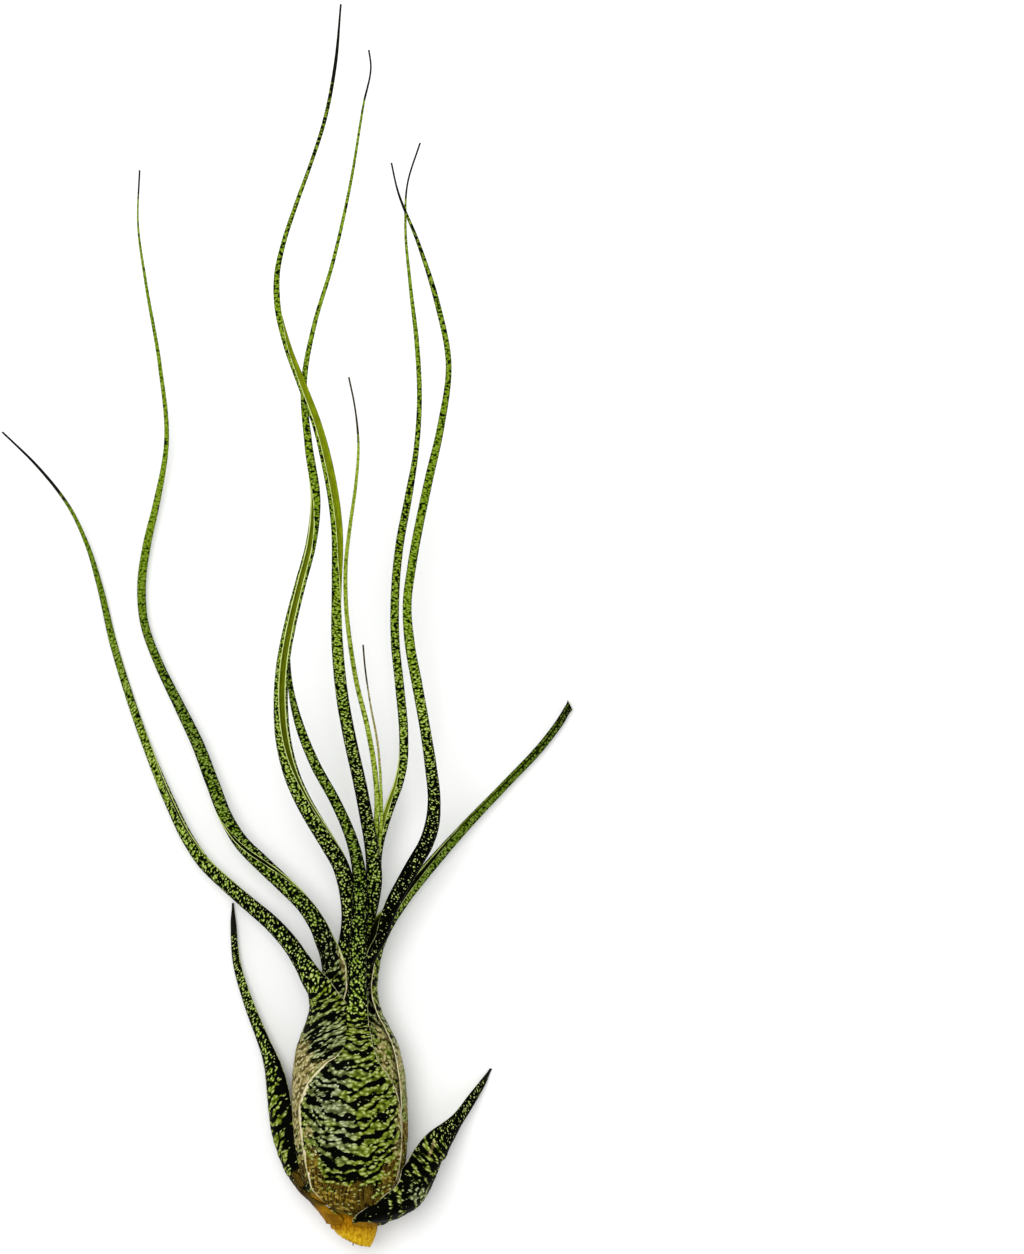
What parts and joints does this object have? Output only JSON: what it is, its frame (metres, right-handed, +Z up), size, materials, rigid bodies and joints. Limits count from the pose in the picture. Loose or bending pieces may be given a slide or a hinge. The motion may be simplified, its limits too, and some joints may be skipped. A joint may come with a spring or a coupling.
{
  "type": "tillandsia butzii air plant",
  "caption": "Small air plant lying on a surface: an egg-shaped bulb of mottled overlapping leaf sheaths on a cut stub of stem, with long thin wavy rolled leaves.",
  "frame": {"origin": "the flat spot under the bulb on which the plant rests", "axes": "+Y along the bulb's axis towards the leaf tips, +X to the right seen from above with the tips away, +Z up from the surface"},
  "size_m": [0.1142, 0.2457, 0.0485],
  "materials": {
    "leaf_skin": "matte green with near-black mottling and pale scales",
    "young_leaf_skin": "matte light yellow-green",
    "stem_wood": "fibrous amber, bright yellow at the cut"
  },
  "bodies": {
    "root": {"stem": "stem_wood", "leaf_base_right": "leaf_skin", "leaf_base_left": "leaf_skin", "leaf_front": "leaf_skin", "leaf_left_long": "leaf_skin", "leaf_right_low": "leaf_skin", "leaf_left_upper": "leaf_skin", "leaf_right_long": "leaf_skin", "leaf_left_inner": "leaf_skin", "leaf_longest": "leaf_skin", "leaf_right_inner": "leaf_skin", "leaf_young": "young_leaf_skin", "leaf_youngest": "young_leaf_skin"}
  },
  "joints": []
}
